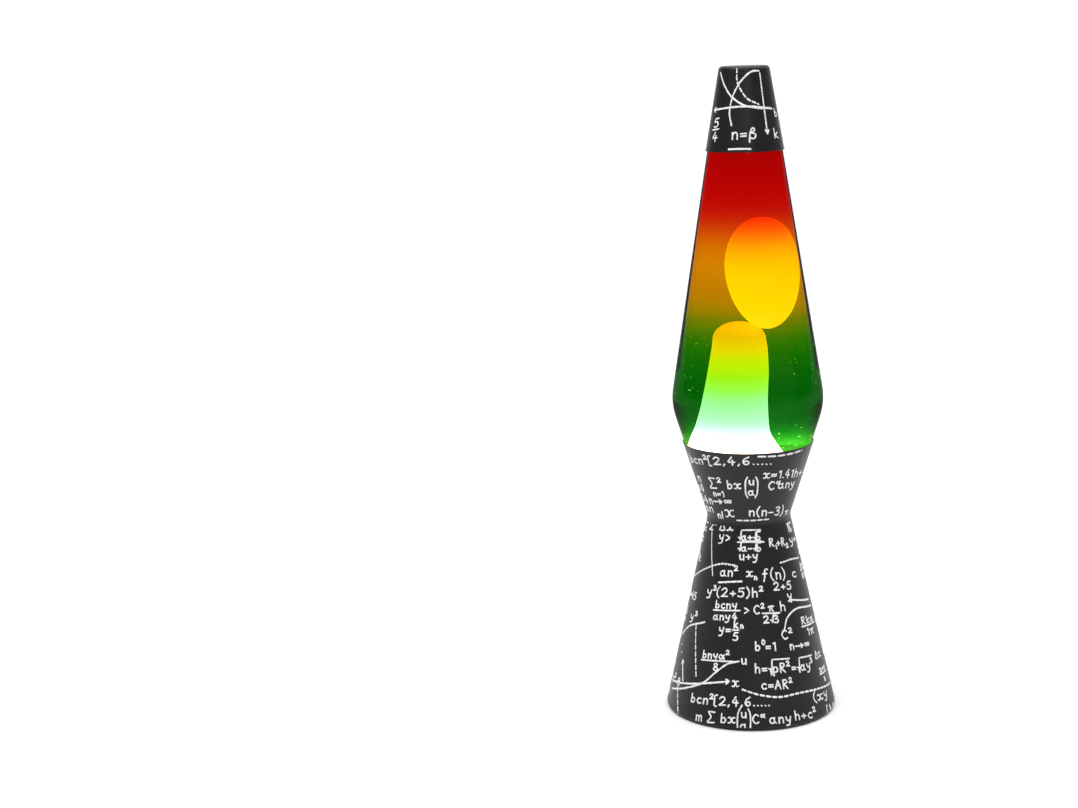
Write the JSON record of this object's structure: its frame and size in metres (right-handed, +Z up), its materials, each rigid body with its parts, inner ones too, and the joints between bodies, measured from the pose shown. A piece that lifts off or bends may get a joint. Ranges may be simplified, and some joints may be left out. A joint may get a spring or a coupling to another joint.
{
  "type": "lava lamp",
  "caption": "Wax motion lamp: tapered colour-graded liquid bottle standing in a black hourglass metal base with chalk doodles, under a matching cap.",
  "frame": {"origin": "middle of the circle that the feet stand on", "axes": "+Z up the lamp's axis, +Y towards the cord's hole at the back"},
  "size_m": [0.106, 0.106, 0.4],
  "materials": {
    "black_satin": "satin black paint with white chalk-style print",
    "black_rubber": "matt",
    "clear_silicone": "matt translucent",
    "zinc_steel": "zinc plated",
    "bright_steel": "bright",
    "holder_moulding": "moulded phenolic",
    "contact_moulding": "moulded, off-white",
    "brass_fittings": "plain brass",
    "brown_lead": "wire insulation",
    "blue_lead": "wire insulation",
    "green_lead": "wire insulation",
    "bulb_metal": "nickel-washed",
    "black_glass": "black bead",
    "bulb_glass": "clear face, silvered bowl",
    "hot_wire": "glowing",
    "graded_glass": "clear glass stained red at the top, amber in the middle and green below",
    "liquid": "clear liquid",
    "wax": "pale wax, glowing from the bulb",
    "crown_metal": "plain tinplate",
    "foam": "closed-cell foam"
  },
  "bodies": {
    "base": {"base_shell": "black_satin", "cord_grommet": "black_rubber", "seat_ring": "clear_silicone", "bottom_plate": "zinc_steel", "plate_lugs": "zinc_steel", "plate_screws": "bright_steel", "rubber_feet": "black_rubber", "holder_bracket": "zinc_steel", "bracket_rivets": "bright_steel", "hollow_nipple": "zinc_steel", "nipple_nut": "zinc_steel", "tooth_washer": "bright_steel", "holder_dome": "holder_moulding", "holder_skirt": "holder_moulding", "contact_block": "contact_moulding", "terminal_screws": "bright_steel", "thread_shell": "brass_fittings", "centre_contact": "brass_fittings", "terminal_block": "contact_moulding", "pole_tubes": "brass_fittings", "clamp_screws": "bright_steel", "live_lead": "brown_lead", "neutral_lead": "blue_lead", "earth_lead": "green_lead", "earth_tag": "brass_fittings", "earth_screw": "bright_steel"},
    "bulb": {"bulb_cap": "bulb_metal", "cap_insulator": "black_glass", "tip_contact": "bulb_metal", "bulb_glass": "bulb_glass", "glass_stem": "bulb_glass", "lead_in_wires": "bright_steel", "filament": "hot_wire"},
    "globe": {"globe_glass": "graded_glass", "clear_liquid": "liquid", "heat_coil": "bright_steel", "wax_mound": "wax", "crown_closure": "crown_metal", "crown_liner": "clear_silicone"},
    "blob": {"wax_blob": "wax"},
    "cap": {"top_cap": "black_satin", "cap_pad": "foam"}
  },
  "joints": [
    {"name": "globe_lift", "type": "slide", "parent": "base", "child": "globe", "axis": [0, 0, 1], "range_m": [0, 0.09]},
    {"name": "cap_lift", "type": "slide", "parent": "globe", "child": "cap", "axis": [0, 0, 1], "range_m": [0, 0.06]},
    {"name": "bulb_turn", "type": "hinge", "parent": "base", "child": "bulb", "pos_m": [0, 0, 0.07], "axis": [0, 0, 1], "range_deg": [0, 1440]},
    {"name": "blob_rise", "type": "slide", "parent": "globe", "child": "blob", "axis": [0, 0, 1], "range_m": [0, 0.016], "deforming": ["clear_liquid"]}
  ]
}
